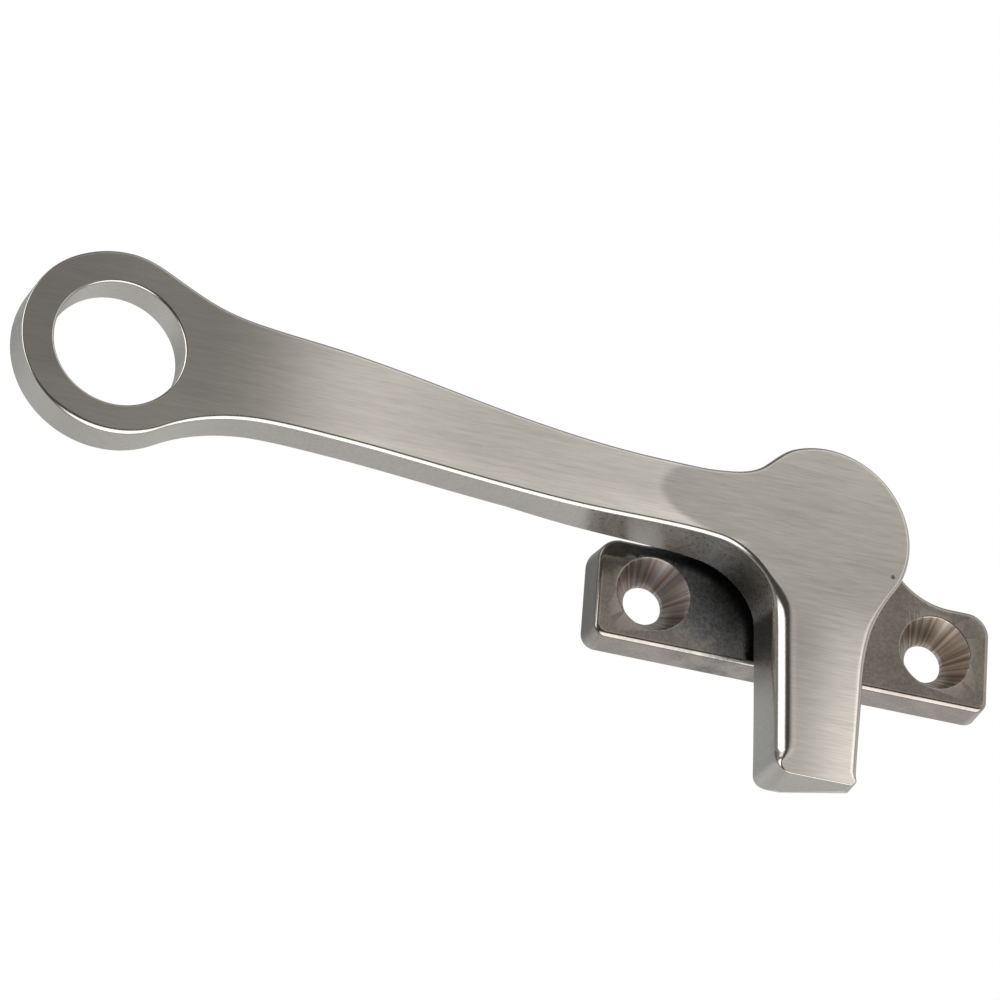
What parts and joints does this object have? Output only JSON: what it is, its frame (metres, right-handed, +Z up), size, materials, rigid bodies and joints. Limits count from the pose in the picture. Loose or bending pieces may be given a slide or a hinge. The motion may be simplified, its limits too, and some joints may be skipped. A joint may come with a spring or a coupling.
{
  "type": "casement window fastener",
  "caption": "Metal casement window fastener: a lever with a ring at its end and a spur at its head turns on a small screwed base plate, so that the spur locks behind a keeper.",
  "frame": {"origin": "on the pivot axis at the back face of the base plate, where it meets the window", "axes": "+X to the right along the base plate with the lever's arm pointing to -X, +Z up with the lever's spur pointing to -Z, +Y from the lever into the window"},
  "size_m": [0.1238, 0.0131, 0.0482],
  "materials": {
    "plate_steel": "polished cast stainless steel",
    "lever_steel": "satin brushed cast stainless steel",
    "pivot_steel": "turned stainless steel",
    "retaining_washer_steel": "stamped stainless steel",
    "spring_washer_steel": "spring steel",
    "thrust_washer_steel": "turned stainless steel"
  },
  "bodies": {
    "base": {"base_plate": "plate_steel", "thrust_washer": "thrust_washer_steel", "spring_washer": "spring_washer_steel"},
    "lever": {"lever": "lever_steel", "pivot_pin": "pivot_steel", "retaining_washer": "retaining_washer_steel"}
  },
  "joints": [
    {"name": "lever_pivot", "type": "hinge", "parent": "base", "child": "lever", "pos_m": [0, 0, 0], "axis": [0, 1, 0], "range_deg": [0, 180]}
  ]
}
